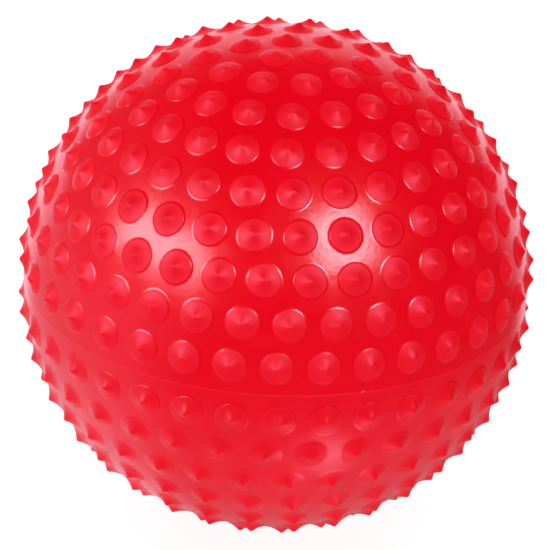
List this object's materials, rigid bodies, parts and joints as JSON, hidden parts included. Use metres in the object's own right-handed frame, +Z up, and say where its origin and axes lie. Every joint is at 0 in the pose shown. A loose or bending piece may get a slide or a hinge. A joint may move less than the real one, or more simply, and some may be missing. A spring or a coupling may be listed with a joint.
{
  "type": "sensory ball",
  "caption": "Hollow soft vinyl play ball covered in rings of low blunt cones, with an air valve and a pull-out stopper at its foot.",
  "frame": {"origin": "under the ball's centre, on the plane of the six cone tips that it stands on", "axes": "+Z up along the axis that the rings of cones go round, -Y to the front, +X to the right seen from the front"},
  "size_m": [0.179, 0.179, 0.1789],
  "materials": {
    "red_vinyl": "semi-gloss moulded soft vinyl",
    "natural_vinyl": "satin moulded soft vinyl",
    "white_vinyl": "satin moulded soft vinyl"
  },
  "bodies": {
    "ball": {"ball_skin": "red_vinyl", "valve_insert": "natural_vinyl"},
    "stopper": {"valve_plug": "white_vinyl"}
  },
  "joints": [
    {"name": "stopper_pull", "type": "slide", "parent": "ball", "child": "stopper", "axis": [0, 0, -1], "range_m": [0, 0.014]}
  ]
}
